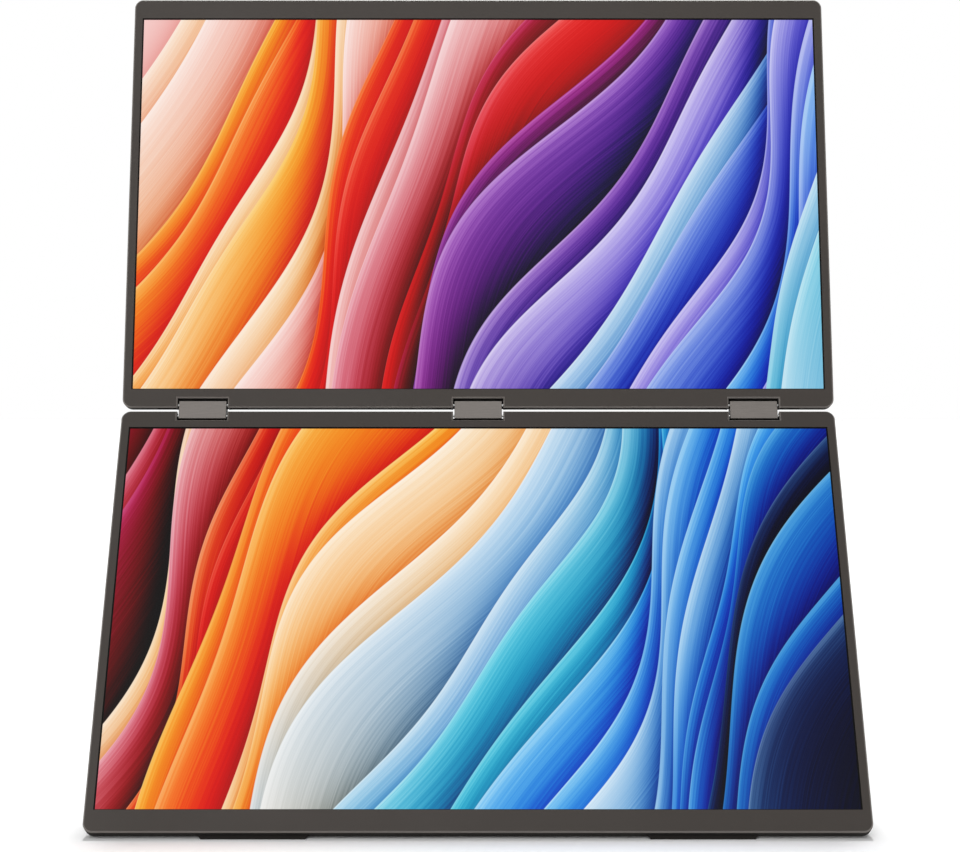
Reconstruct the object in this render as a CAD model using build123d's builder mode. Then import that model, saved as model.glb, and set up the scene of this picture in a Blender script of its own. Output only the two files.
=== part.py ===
from build123d import *
import math
import os

# Dual portable monitor: two displays joined by three double-pin hinges, standing on a rear kickstand.
# Millimetres. +Z is up, -Y faces the viewer, and the floor is the plane Z = 0.

# Screen and bezels
active_width = 344.16
active_height = 193.59
side_bezel = 4.9
hinge_bezel = 9.75
outer_bezel = 10.85
window_border = 0.4
corner_radius = 4.5
edge_chamfer = 0.7

# Layers of a display, counted back from the front face
bezel_thickness = 1.0
lip_thickness = 0.4
gasket_thickness = 0.15
cell_thickness = 0.9
sheets_thickness = 1.4
tray_thickness = 0.4
panel_thickness = 8.4

# Casing
cover_wall = 1.3
back_edge_radius = 3.0
parting_chamfer = 0.2
rib_thickness = 1.0
rib_depth = 1.4
boss_radius = 1.8

# Screen module
cell_side_border = 1.2
cell_hinge_border = 1.5
cell_far_border = 4.0
gasket_width = 0.7
tray_rim = 0.4
led_bar_width = 2.2

# Pose at rest
lower_lean = 30.0
opening = 162.0
stand_open = 53.0

# Double-pin hinges
hinge_inset = 39.9
link_width = 23.6
link_end_radius = 1.5
link_end_reach = 1.75
link_cover_thickness = 0.3
link_cover_bevel = 0.15
link_back_reach = 4.5
link_back_radius = 1.0
axis_gap = 5.7
axis_inset = 1.65
axis_depth = 2.4
pin_radius = 0.62
pin_engagement = 9.0
barrel_radius = 1.15
notch_side_gap = 0.7
notch_depth = 4.85
notch_wall = 1.0
notch_corner_radius = 0.8
bracket_thickness = 1.0
bracket_reach = 13.5
web_thickness = 1.0

# Synchronising gears
gear_teeth = 10
gear_width = 2.0
gear_tooth_height = 0.36
gear_backlash = 0.1
gear_pocket_gap = 0.1
idler_pin_radius = 0.25
idler_pin_seat = 1.2

# Kickstand
stand_inset = 66.6
stand_thickness = 2.0
stand_top_inset = 0.5
stand_corner_radius = 6.0
stand_foot_length = 5.0
stand_foot_groove = 1.2
pivot_drop = 55.2
pivot_depth = 6.1
recess_depth = 2.2
recess_top_room = 2.7
recess_gap = 0.6
recess_corner_radius = 1.5
knuckle_radius = 1.9
knuckle_length = 10.0
lug_length = 6.0
stand_pin_radius = 1.0
stand_hinge_inset = 30.0
leaf_thickness = 0.8
leaf_length = 14.0
leaf_width = 18.0
scoop_width = 44.0

# Rubber feet under the lower display
foot_inset = 51.2
foot_length = 50.0
foot_proud = 0.5
foot_wrap = 5.0
foot_end_bevel = 1.6

# Electronics
board_thickness = 1.0
board_width = 46.0
board_top = 62.0
board_end = 31.0
board_inset = 2.0
board_depth = 4.45
timing_board_width = 9.0
timing_board_inset = 71.5
timing_board_thickness = 0.8
port_depth = 4.9
port_first = 22.0
port_pitch = 22.0
port_length = 7.4
data_port_width = 8.94
data_port_height = 3.16
data_port_wall = 0.3
video_port_width = 11.2
video_port_height = 3.1
video_port_bevel = 0.9
tongue_thickness = 0.7
port_clearance = 0.12

# Ventilation slots in the lower cover
vent_count = 9
vent_pitch = 3.2
vent_length = 16.0
vent_width = 1.4

# Buttons
button_first = 72.0
button_pitch = 15.0
button_count = 3
button_length = 8.0
button_height = 2.6
button_proud = 0.4
button_travel = 0.4
button_flange = 0.8
button_clearance = 0.15
switch_size = 3.4
button_board_width = 3.6

# Fasteners
screw_radius = 0.7
screw_head_radius = 1.4
screw_head_height = 0.7
screw_length = 3.0
thread_engagement = 2.4
screw_seat_gap = 0.05

# Display cable
cable_radius = 0.3
cable_bore_gap = 0.06
cable_bend = 1.0
cable_dip = 4.6
cable_run = 20.0
ribbon_thickness = 0.15
ribbon_width = 8.0
socket_size = 9.0

# Clearances
running_clearance = 0.03
press_clearance = 0.01
part_gap = 0.2
overcut = 2.0

# Sizes that follow from the ones above
panel_width = active_width + 2 * side_bezel
panel_height = hinge_bezel + active_height + outer_bezel
hinge_spacing = panel_width / 2 - hinge_inset
stand_width = panel_width - 2 * stand_inset
stand_hinge_spacing = stand_width / 2 - stand_hinge_inset
foot_spacing = panel_width / 2 - foot_inset - foot_length / 2
pivot_height = panel_height - pivot_drop
board_length = panel_height - board_top - board_end
timing_board_length = panel_width - 2 * timing_board_inset
cell_depth = lip_thickness + gasket_thickness
sheets_depth = cell_depth + cell_thickness
tray_depth = sheets_depth + sheets_thickness
tray_back = tray_depth + tray_thickness
cover_inner = panel_thickness - cover_wall
cell_width = active_width + 2 * cell_side_border
cell_height = active_height + cell_hinge_border + cell_far_border
cell_middle = hinge_bezel - cell_hinge_border + cell_height / 2
active_middle = hinge_bezel + active_height / 2
notch_width = link_width + 2 * notch_side_gap
arm_start = notch_width / 2 + notch_wall + part_gap
pin_half_length = arm_start + pin_engagement
bracket_depth = tray_back
bracket_back = bracket_depth + bracket_thickness
bracket_screw_x = arm_start + pin_engagement / 2
bracket_screw_v = bracket_reach - boss_radius - part_gap
recess_floor = panel_thickness - recess_depth
recess_inner = recess_floor - cover_wall
gear_pitch_radius = axis_gap / 6
gear_outer_radius = gear_pitch_radius + gear_tooth_height / 2
gear_root_radius = gear_pitch_radius - gear_tooth_height / 2 - gear_backlash / 2
gear_step = 360 / gear_teeth
cable_exit = pin_half_length + cable_bend + cable_radius
hinge_places = (-hinge_spacing, 0.0, hinge_spacing)
geared_places = (-hinge_spacing, hinge_spacing)
stand_hinge_places = (-stand_hinge_spacing, stand_hinge_spacing)
corner_screw_places = [
    (side * (panel_width / 2 - back_edge_radius - screw_head_radius - part_gap), v)
    for side in (-1, 1)
    for v in (hinge_bezel / 2, panel_height - outer_bezel / 2 + boss_radius / 2)
]


# Frames
def up_along(lean):
    """Direction up along a face that leans back by lean degrees."""
    return Vector(0, math.sin(math.radians(lean)), math.cos(math.radians(lean)))


def facing(lean):
    """Outward normal of the front of a face that leans back by lean degrees."""
    return Vector(0, -math.cos(math.radians(lean)), math.sin(math.radians(lean)))


upper_lean = lower_lean - (180 - opening)
link_lean = (lower_lean + upper_lean) / 2
stand_lean = stand_open - lower_lean
lean_sine = math.sin(math.radians(lower_lean))
lean_cosine = math.cos(math.radians(lower_lean))
front_height = (
    foot_proud
    + back_edge_radius
    + (panel_thickness - back_edge_radius) * lean_sine
    - back_edge_radius * lean_cosine
)


def layout(front_y):
    """Reference points when the lower display's bottom front edge stands at front_y."""
    bottom = Vector(0, front_y, front_height)
    lower_edge = bottom + up_along(lower_lean) * panel_height
    lower_axis = lower_edge - up_along(lower_lean) * axis_inset - facing(lower_lean) * axis_depth
    upper_axis = lower_axis + up_along(link_lean) * axis_gap
    upper_edge = upper_axis - up_along(upper_lean) * axis_inset + facing(upper_lean) * axis_depth
    pivot = bottom + up_along(lower_lean) * pivot_height - facing(lower_lean) * pivot_depth
    return lower_edge, lower_axis, upper_edge, pivot


def depth_centre():
    """Middle of the object's reach in Y, measured from the lower display's bottom front edge."""
    upper_edge = layout(0)[2]
    corner = (
        upper_edge
        + up_along(upper_lean) * (panel_height - back_edge_radius)
        - facing(upper_lean) * (panel_thickness - back_edge_radius)
    )
    foremost = edge_chamfer * min(lean_sine, lean_cosine)
    return (corner.Y + back_edge_radius + foremost) / 2


lower_edge, lower_axis, upper_edge, pivot = layout(-depth_centre())
lower = Plane(origin=lower_edge, x_dir=(-1, 0, 0), z_dir=facing(lower_lean))
upper = Plane(origin=upper_edge, x_dir=(1, 0, 0), z_dir=facing(upper_lean))
link = Plane(origin=lower_axis, x_dir=(1, 0, 0), z_dir=facing(link_lean))
stand = Plane(origin=pivot, x_dir=(1, 0, 0), z_dir=facing(180 - stand_lean))
stand_length = pivot.Z / math.cos(math.radians(stand_lean))
stand_inner = part_gap / 2 + recess_floor - pivot_depth
stand_outer = stand_inner + stand_thickness
groove_depth = (stand_thickness - stand_foot_groove) / 2
stand_reach = stand_length + stand_outer * math.tan(math.radians(stand_lean))


def behind(frame, depth):
    """Plane parallel to a frame's front, depth behind it."""
    return frame.offset(-depth)


def section(frame, x):
    """Plane across a frame at x, with coordinates (distance from its hinge edge, height over its front)."""
    return Plane(origin=frame.from_local_coords((x, 0, 0)), x_dir=frame.y_dir, z_dir=frame.x_dir)


def front_axis(frame):
    """Axis that points out of a frame's front."""
    return Axis(frame.origin, frame.z_dir)


def save(part, label):
    """Names a finished piece and writes it to its own file."""
    part.label = label
    export_step(part, f"parts/{label}.step")


def notch_outline(mode=Mode.ADD):
    """Openings for the hinge links along a display's hinge edge."""
    with Locations(*[(x, (notch_depth - overcut) / 2) for x in hinge_places]):
        Rectangle(notch_width, notch_depth + overcut, mode=mode)


# Casing of a display
def front_bezel(frame, label):
    """Front frame with the screen window, hinge notches, locating rib and screw bosses."""
    with BuildPart() as bezel:
        with BuildSketch(frame) as outline:
            with Locations((0, panel_height / 2)):
                RectangleRounded(panel_width, panel_height, corner_radius)
            notch_outline(Mode.SUBTRACT)
            across = Axis(frame.origin, frame.y_dir)
            band = (notch_depth - part_gap, notch_depth + part_gap)
            inner = outline.vertices().filter_by_position(across, *band)
            fillet(inner, notch_corner_radius)
        extrude(amount=-bezel_thickness)
        chamfer(bezel.faces().sort_by(front_axis(frame))[-1].edges(), edge_chamfer)
        with BuildSketch(frame):
            with Locations((0, active_middle)):
                Rectangle(active_width + 2 * window_border, active_height + 2 * window_border)
        extrude(amount=-bezel_thickness, mode=Mode.SUBTRACT)
        with BuildSketch(behind(frame, lip_thickness)):
            with Locations((0, cell_middle)):
                Rectangle(cell_width + 2 * part_gap, cell_height + 2 * part_gap)
        extrude(amount=lip_thickness - bezel_thickness, mode=Mode.SUBTRACT)
        inset = cover_wall + part_gap
        with BuildSketch(behind(frame, bezel_thickness)):
            with Locations((0, panel_height / 2)):
                RectangleRounded(panel_width - 2 * inset, panel_height - 2 * inset, corner_radius - inset)
                RectangleRounded(
                    panel_width - 2 * (inset + rib_thickness),
                    panel_height - 2 * (inset + rib_thickness),
                    corner_radius - inset - rib_thickness,
                    mode=Mode.SUBTRACT,
                )
            with Locations((0, hinge_bezel / 2)):
                Rectangle(panel_width, hinge_bezel, mode=Mode.SUBTRACT)
        extrude(amount=-rib_depth)
        with BuildSketch(behind(frame, bezel_thickness)):
            with Locations(*corner_screw_places):
                Circle(boss_radius)
                Circle(screw_radius, mode=Mode.SUBTRACT)
        extrude(amount=-(cover_inner - bezel_thickness))
    save(bezel.part, label)


def shell(frame):
    """Plain back cover: a rounded tray, with walls round the notches and seats for the brackets."""
    rim = behind(frame, bezel_thickness)
    floor = behind(frame, cover_inner)
    with BuildPart() as cover:
        with BuildSketch(rim):
            with Locations((0, panel_height / 2)):
                RectangleRounded(panel_width, panel_height, corner_radius)
        extrude(amount=-(panel_thickness - bezel_thickness))
        fillet(cover.faces().sort_by(front_axis(frame))[0].edges(), back_edge_radius)
        chamfer(cover.faces().sort_by(front_axis(frame))[-1].edges(), parting_chamfer)
        with BuildSketch(rim):
            with Locations((0, panel_height / 2)):
                RectangleRounded(
                    panel_width - 2 * cover_wall, panel_height - 2 * cover_wall, corner_radius - cover_wall
                )
        extrude(amount=-(cover_inner - bezel_thickness), mode=Mode.SUBTRACT)
        with BuildSketch(rim):
            with Locations(*[(x, (notch_depth + notch_wall + parting_chamfer) / 2) for x in hinge_places]):
                Rectangle(notch_width + 2 * notch_wall, notch_depth + notch_wall - parting_chamfer)
        extrude(amount=-(cover_inner - bezel_thickness))
        with BuildSketch(frame):
            notch_outline()
        extrude(amount=-cover_inner, mode=Mode.SUBTRACT)
        with BuildSketch(floor):
            with Locations(*bracket_screw_places()):
                Circle(boss_radius)
        extrude(amount=cover_inner - bracket_back)
        with BuildSketch(behind(frame, bracket_back)):
            with Locations(*bracket_screw_places()):
                Circle(screw_radius)
        extrude(amount=-thread_engagement, mode=Mode.SUBTRACT)
        for x in hinge_places:
            with BuildSketch(section(frame, x)):
                with Locations((axis_inset, -axis_depth)):
                    Circle(pin_radius + part_gap)
            extrude(amount=arm_start, both=True, mode=Mode.SUBTRACT)
            for side in (-1, 1):
                with BuildSketch(section(frame, x + side * (arm_start + pin_engagement / 2))):
                    with Locations((0, -(bezel_thickness + axis_depth + barrel_radius + part_gap) / 2)):
                        Rectangle(
                            2 * (axis_inset + barrel_radius + part_gap),
                            axis_depth + barrel_radius + part_gap - bezel_thickness,
                        )
                extrude(amount=pin_engagement / 2 + part_gap, both=True, mode=Mode.SUBTRACT)
        with BuildSketch(section(frame, cable_exit)):
            with Locations((axis_inset, -axis_depth)):
                Circle(2 * cable_radius)
        extrude(amount=2 * cable_bend, both=True, mode=Mode.SUBTRACT)
        with BuildSketch(behind(frame, panel_thickness)):
            with Locations(*corner_screw_places):
                Circle(screw_head_radius + screw_seat_gap)
        extrude(amount=screw_head_height, mode=Mode.SUBTRACT)
        with BuildSketch(behind(frame, panel_thickness)):
            with Locations(*corner_screw_places):
                Circle(screw_radius + screw_seat_gap)
        extrude(amount=cover_wall, mode=Mode.SUBTRACT)
    return cover.part


def bracket_screw_places():
    """Two screws beside every hinge."""
    return [(x + side * bracket_screw_x, bracket_screw_v) for x in hinge_places for side in (-1, 1)]


def corner_screws(frame, label):
    """Screws through the back cover into the bezel's bosses."""
    with BuildPart() as screws:
        with BuildSketch(behind(frame, panel_thickness)):
            with Locations(*corner_screw_places):
                Circle(screw_head_radius)
        extrude(amount=screw_head_height)
        with BuildSketch(behind(frame, panel_thickness - screw_head_height)):
            with Locations(*corner_screw_places):
                Circle(screw_radius - press_clearance)
        extrude(amount=screw_length)
        with BuildSketch(behind(frame, panel_thickness)):
            with Locations(*corner_screw_places):
                Rectangle(screw_head_radius, screw_head_height / 2)
                Rectangle(screw_head_height / 2, screw_head_radius)
        extrude(amount=screw_head_height / 2, mode=Mode.SUBTRACT)
    save(screws.part, label)


# Screen module of a display
def bezel_gasket(frame, label):
    """Foam frame between the bezel's lip and the glass."""
    with BuildPart() as gasket:
        with BuildSketch(behind(frame, lip_thickness)):
            with Locations((0, active_middle)):
                wide = active_width + 2 * window_border
                high = active_height + 2 * window_border
                Rectangle(wide + 2 * gasket_width, high + 2 * gasket_width)
                Rectangle(wide, high, mode=Mode.SUBTRACT)
        extrude(amount=-gasket_thickness)
    save(gasket.part, label)


def lcd_cell(frame, label):
    """Glass screen."""
    with BuildPart() as cell:
        with BuildSketch(behind(frame, cell_depth)):
            with Locations((0, cell_middle)):
                Rectangle(cell_width, cell_height)
        extrude(amount=-cell_thickness)
    save(cell.part, label)


def panel_tray(frame, label):
    """Folded metal pan that holds the backlight against the glass."""
    with BuildPart() as tray:
        with BuildSketch(behind(frame, sheets_depth)):
            with Locations((0, cell_middle)):
                Rectangle(cell_width, cell_height)
        extrude(amount=-(sheets_thickness + tray_thickness))
        with BuildSketch(behind(frame, sheets_depth)):
            with Locations((0, cell_middle)):
                Rectangle(cell_width - 2 * tray_rim, cell_height - 2 * tray_rim)
        extrude(amount=-sheets_thickness, mode=Mode.SUBTRACT)
    save(tray.part, label)


def backlight_sheets(frame, label):
    """Light guide with its films, on the tray's floor beside the light bar."""
    length = cell_height - 2 * tray_rim - led_bar_width - 2 * part_gap
    with BuildPart() as sheets:
        with BuildSketch(behind(frame, sheets_depth)):
            with Locations((0, hinge_bezel - cell_hinge_border + tray_rim + part_gap + length / 2)):
                Rectangle(cell_width - 2 * tray_rim - 2 * part_gap, length)
        extrude(amount=-sheets_thickness)
    save(sheets.part, label)


def led_bar(frame, label):
    """Light bar along the screen's far edge."""
    with BuildPart() as bar:
        with BuildSketch(behind(frame, sheets_depth)):
            far = cell_middle + cell_height / 2 - tray_rim
            with Locations((0, far - led_bar_width / 2)):
                Rectangle(cell_width - 2 * tray_rim - 2 * part_gap, led_bar_width - part_gap)
        extrude(amount=-sheets_thickness)
    save(bar.part, label)


def timing_board(frame, label):
    """Narrow driver board on the back of the tray, with its chips and cable socket."""
    middle = cell_middle + cell_height / 2 - timing_board_width / 2 - part_gap
    chip = timing_board_width / 2
    with BuildPart() as board:
        with BuildSketch(behind(frame, tray_back)):
            with Locations((0, middle)):
                Rectangle(timing_board_length, timing_board_width)
        extrude(amount=-timing_board_thickness)
        with BuildSketch(behind(frame, tray_back + timing_board_thickness)):
            with Locations((0, middle)):
                Rectangle(3 * chip, chip)
            with Locations((0, middle)), GridLocations(timing_board_length / 2, 0, 2, 1):
                Rectangle(2 * chip, chip)
        extrude(amount=-timing_board_thickness)
    save(board.part, label)


# Hinges
def bracket_profile():
    """Section of a hinge arm: barrel round the pin, web, and plate under the tray."""
    with Locations((axis_inset, -axis_depth)):
        Circle(barrel_radius)
    web_start = cover_wall + part_gap
    with Locations((web_start, -bracket_back)):
        Rectangle(web_thickness, bracket_back - axis_depth, align=(Align.MIN, Align.MIN))
        Rectangle(bracket_reach - web_start, bracket_thickness, align=(Align.MIN, Align.MIN))
    with Locations((axis_inset, -axis_depth)):
        Circle(pin_radius + press_clearance, mode=Mode.SUBTRACT)


def hinge_brackets(frame, label):
    """One bracket a hinge: two arms that grip the pin, and a strap behind the notch."""
    strap_start = notch_depth + notch_wall + part_gap
    with BuildPart() as brackets:
        for x in hinge_places:
            for side in (-1, 1):
                with BuildSketch(section(frame, x + side * (arm_start + pin_engagement / 2))):
                    bracket_profile()
                extrude(amount=pin_engagement / 2, both=True)
            with BuildSketch(behind(frame, bracket_depth)):
                with Locations((x, (strap_start + bracket_reach) / 2)):
                    Rectangle(2 * arm_start, bracket_reach - strap_start)
            extrude(amount=-bracket_thickness)
        with Locations(behind(frame, bracket_depth)):
            with Locations(*bracket_screw_places()):
                CounterSinkHole(
                    screw_radius + screw_seat_gap, screw_head_radius + screw_seat_gap, bracket_thickness
                )
    save(brackets.part, label)


def bracket_screws(frame, label):
    """Countersunk screws from the brackets into the cover's bosses."""
    with BuildPart() as screws:
        with BuildSketch(section(frame, 0)):
            with BuildLine():
                Polyline(
                    (bracket_screw_v, -bracket_depth),
                    (bracket_screw_v + screw_head_radius, -bracket_depth),
                    (bracket_screw_v + screw_radius - press_clearance, -bracket_depth - screw_head_height),
                    (bracket_screw_v + screw_radius - press_clearance, -bracket_depth - screw_length),
                    (bracket_screw_v, -bracket_depth - screw_length),
                    close=True,
                )
            make_face()
        axis = Axis(frame.from_local_coords((0, bracket_screw_v, 0)), frame.z_dir)
        revolve(axis=axis)
    places = [frame.x_dir * x for x, v in bracket_screw_places()]
    with BuildPart() as group:
        for place in places:
            add(screws.part.moved(Location(place)))
    save(group.part, label)


def gear_outline(turn):
    """Straight-sided gear teeth, with the first tooth's middle at turn degrees."""
    tip = gear_step * 0.1
    foot = gear_step * 0.27 - math.degrees(gear_backlash / gear_pitch_radius) / 2
    points = []
    for tooth in range(gear_teeth):
        middle = turn + tooth * gear_step
        for radius, angle in (
            (gear_root_radius, middle - foot),
            (gear_outer_radius, middle - tip),
            (gear_outer_radius, middle + tip),
            (gear_root_radius, middle + foot),
        ):
            points.append((radius * math.cos(math.radians(angle)), radius * math.sin(math.radians(angle))))
    return points


def gear_turn(place):
    """Turn of the gear at a place in the train, so that its teeth face its neighbours' gaps."""
    return gear_step / 2 * (place % 2)


def link_section(x, place):
    """Plane across the links at x, centred on one of the four gear axes. Its X axis runs along the link."""
    origin = link.from_local_coords((x, place * axis_gap / 3, 0))
    return Plane(origin=origin, x_dir=link.y_dir, z_dir=link.x_dir)


def hinge_pins(place, label):
    """Three pins of one display. The outer two carry a gear, and the middle one is a tube for the cable."""
    with BuildPart() as pins:
        for x in hinge_places:
            with BuildSketch(link_section(x, place)):
                Circle(pin_radius)
            extrude(amount=pin_half_length, both=True)
        for x in geared_places:
            with BuildSketch(link_section(x, place)):
                Polygon(*gear_outline(gear_turn(place)), align=None)
            extrude(amount=gear_width / 2, both=True)
        with BuildSketch(link_section(0, place)):
            Circle(cable_radius + cable_bore_gap)
        extrude(amount=pin_half_length, both=True, mode=Mode.SUBTRACT)
        with BuildSketch(link_section(0, place)):
            Circle(gear_outer_radius)
        extrude(amount=gear_width / 2 + gear_pocket_gap, both=True, mode=Mode.SUBTRACT)
    save(pins.part, label)


def idler_gears(place, label):
    """Two idler gears on one axis, one in each outer hinge."""
    with BuildPart() as gears:
        for x in geared_places:
            with BuildSketch(link_section(x, place)):
                Polygon(*gear_outline(gear_turn(place)), align=None)
                Circle(idler_pin_radius + running_clearance, mode=Mode.SUBTRACT)
            extrude(amount=gear_width / 2, both=True)
    save(gears.part, label)


def idler_pins():
    """Small axles that carry the idler gears."""
    with BuildPart() as pins:
        for x in geared_places:
            for place in (1, 2):
                with BuildSketch(link_section(x, place)):
                    Circle(idler_pin_radius)
                extrude(amount=gear_width / 2 + gear_pocket_gap + idler_pin_seat, both=True)
    save(pins.part, "idler_pins")


def link_housings():
    """Hinge links: a bored block a hinge, hollow round its gears or its cable."""
    cut_height = link_end_radius - link_cover_thickness
    with BuildPart() as housings:
        for x in hinge_places:
            with BuildSketch(link_section(x, 0)):
                with Locations((axis_gap / 2, 0)):
                    SlotCenterToCenter(axis_gap, 2 * link_end_radius)
                with Locations((axis_gap / 2, -link_back_reach / 2)):
                    Rectangle(axis_gap, link_back_reach)
                with Locations((axis_gap / 2, cut_height / 2)):
                    Rectangle(axis_gap + 2 * link_end_reach, cut_height)
                with Locations((axis_gap / 2, cut_height + link_cover_thickness / 2)):
                    Rectangle(axis_gap + 2 * link_end_radius, link_cover_thickness, mode=Mode.SUBTRACT)
            extrude(amount=link_width / 2, both=True)
        back = housings.faces().group_by(front_axis(link))[0]
        fillet(back.edges().filter_by(Axis.X), link_back_radius)
        for x in hinge_places:
            for place in (0, 3):
                with BuildSketch(link_section(x, place)):
                    Circle(pin_radius + running_clearance)
                extrude(amount=link_width / 2, both=True, mode=Mode.SUBTRACT)
        pocket = 2 * (gear_outer_radius + gear_pocket_gap)
        for x in hinge_places:
            with BuildSketch(link_section(x, 0)):
                with Locations((axis_gap / 2, 0)):
                    SlotCenterToCenter(axis_gap, pocket)
                with Locations((axis_gap / 2, cut_height / 2)):
                    Rectangle(axis_gap, cut_height)
            extrude(amount=gear_width / 2 + gear_pocket_gap, both=True, mode=Mode.SUBTRACT)
        for x in geared_places:
            for place in (1, 2):
                with BuildSketch(link_section(x, place)):
                    Circle(idler_pin_radius + press_clearance)
                seat = gear_width / 2 + gear_pocket_gap + idler_pin_seat
                extrude(amount=seat, both=True, mode=Mode.SUBTRACT)
    save(housings.part, "hinge_housings")


def link_covers():
    """Flat caps that close the links at the front."""
    with BuildPart() as covers:
        for x in hinge_places:
            with BuildSketch(link.offset(link_end_radius - link_cover_thickness)):
                with Locations((x, axis_gap / 2)):
                    RectangleRounded(link_width, axis_gap + 2 * link_end_reach, link_cover_thickness)
            extrude(amount=link_cover_thickness)
        rims = covers.faces().group_by(front_axis(link))[-1].edges()
        chamfer(rims, link_cover_bevel)
    save(covers.part, "hinge_covers")


# Display cable
def display_cable(frame, depth, end, label):
    """Cable from the link through a middle pin's bore, then behind the screen to its socket."""
    end_x, end_v = end
    stops = [
        (cable_radius + press_clearance, axis_inset, -axis_depth),
        (cable_exit, axis_inset, -axis_depth),
        (cable_exit, cable_dip, -axis_depth),
        (cable_exit, cable_dip, -depth),
        (cable_exit, cable_run, -depth),
        (end_x, cable_run, -depth),
        (end_x, end_v, -depth),
    ]
    with BuildPart() as cable:
        with BuildLine() as path:
            FilletPolyline(*[frame.from_local_coords(stop) for stop in stops], radius=cable_bend)
        with BuildSketch(section(frame, cable_radius + press_clearance)):
            with Locations((axis_inset, -axis_depth)):
                Circle(cable_radius)
        sweep()
    save(cable.part, label)


def link_cable():
    """Stretch of the display cable that crosses the middle link."""
    with BuildPart() as cable:
        start = link.from_local_coords((0, -cable_radius, 0))
        with BuildSketch(Plane(origin=start, x_dir=link.x_dir, z_dir=link.y_dir)):
            Circle(cable_radius)
        extrude(amount=axis_gap + 2 * cable_radius)
    save(cable.part, "link_cable")


# Kickstand
def lug_profile():
    """Section of a stand bracket's lug, round the stand's pivot."""
    reach = leaf_length
    with Locations((pivot_drop, -pivot_depth)):
        Circle(knuckle_radius)
    with Locations((pivot_drop, -recess_inner)):
        Rectangle(reach, leaf_thickness, align=(Align.MIN, Align.MIN))
    with Locations((pivot_drop, -recess_inner + leaf_thickness)):
        Rectangle(knuckle_radius, pivot_depth - recess_inner, align=(Align.MIN, Align.MAX))
    with Locations((pivot_drop, -pivot_depth)):
        Circle(stand_pin_radius + press_clearance, mode=Mode.SUBTRACT)


def stand_screw_places():
    """Screws that hold the stand brackets on the recess floor."""
    v = pivot_drop + leaf_length - boss_radius - part_gap
    return [(x + side * lug_length, v) for x in stand_hinge_places for side in (-1, 1)]


def stand_brackets():
    """Brackets inside the back cover whose lugs reach through it to the stand's pins."""
    lug_middle = knuckle_length / 2 + part_gap + lug_length / 2
    with BuildPart() as brackets:
        for x in stand_hinge_places:
            for side in (-1, 1):
                with BuildSketch(section(lower, x + side * lug_middle)):
                    lug_profile()
                extrude(amount=lug_length / 2, both=True)
            start = pivot_drop + knuckle_radius + recess_gap
            with BuildSketch(behind(lower, recess_inner)):
                with Locations((x, (start + pivot_drop + leaf_length) / 2)):
                    Rectangle(2 * lug_middle, pivot_drop + leaf_length - start)
            extrude(amount=leaf_thickness)
        with BuildSketch(behind(lower, recess_inner)):
            with Locations(*stand_screw_places()):
                Circle(screw_radius)
        extrude(amount=leaf_thickness, mode=Mode.SUBTRACT)
    save(brackets.part, "stand_brackets")


def stand_screws():
    """Countersunk screws through the recess floor into the stand brackets."""
    head = recess_floor
    with BuildPart() as screws:
        with BuildSketch(behind(lower, head)):
            with Locations(*stand_screw_places()):
                Circle(screw_head_radius)
        extrude(amount=screw_head_height)
        with BuildSketch(behind(lower, head)):
            with Locations(*stand_screw_places()):
                Rectangle(screw_head_radius, screw_head_height / 2)
                Rectangle(screw_head_height / 2, screw_head_radius)
        extrude(amount=screw_head_height / 2, mode=Mode.SUBTRACT)
        with BuildSketch(behind(lower, head - screw_head_height)):
            with Locations(*stand_screw_places()):
                Circle(screw_radius - press_clearance)
        extrude(amount=cover_wall + leaf_thickness - screw_head_height)
    save(screws.part, "stand_screws")


def stand_pins():
    """Pivot pins of the kickstand."""
    with BuildPart() as pins:
        for x in stand_hinge_places:
            with BuildSketch(section(stand, x)):
                Circle(stand_pin_radius)
            extrude(amount=knuckle_length / 2 + part_gap + lug_length, both=True)
    save(pins.part, "stand_pins")


def stand_plate():
    """Wide leg of the kickstand, with pockets for its hinge leaves and a tongue for its rubber foot."""
    straight = stand_length - stand_foot_length
    with BuildPart() as plate:
        with BuildSketch(stand.offset(stand_inner)):
            with Locations((0, (stand_top_inset + straight) / 2)):
                Rectangle(stand_width, straight - stand_top_inset)
        extrude(amount=stand_thickness)
        corners = plate.edges().filter_by(Axis(stand.origin, stand.z_dir))
        top = corners.group_by(Axis(stand.origin, stand.y_dir))[0]
        fillet(top, stand_corner_radius)
        with BuildSketch(stand.offset(stand_inner)):
            with Locations(*[(x, stand_top_inset + leaf_length / 2) for x in stand_hinge_places]):
                Rectangle(leaf_width + 2 * part_gap, leaf_length)
        extrude(amount=leaf_thickness, mode=Mode.SUBTRACT)
        with BuildSketch(stand.offset(stand_inner)):
            room = knuckle_length / 2 + 2 * part_gap + lug_length
            with Locations(*[(x, stand_top_inset) for x in stand_hinge_places]):
                Rectangle(2 * room, 2 * (knuckle_radius + part_gap))
        extrude(amount=stand_thickness, mode=Mode.SUBTRACT)
        with BuildSketch(stand.offset(stand_inner + groove_depth)):
            with Locations((0, straight)):
                Rectangle(stand_width - 2 * stand_foot_length, stand_foot_length)
        extrude(amount=stand_foot_groove)
    save(plate.part, "stand_plate")


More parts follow.
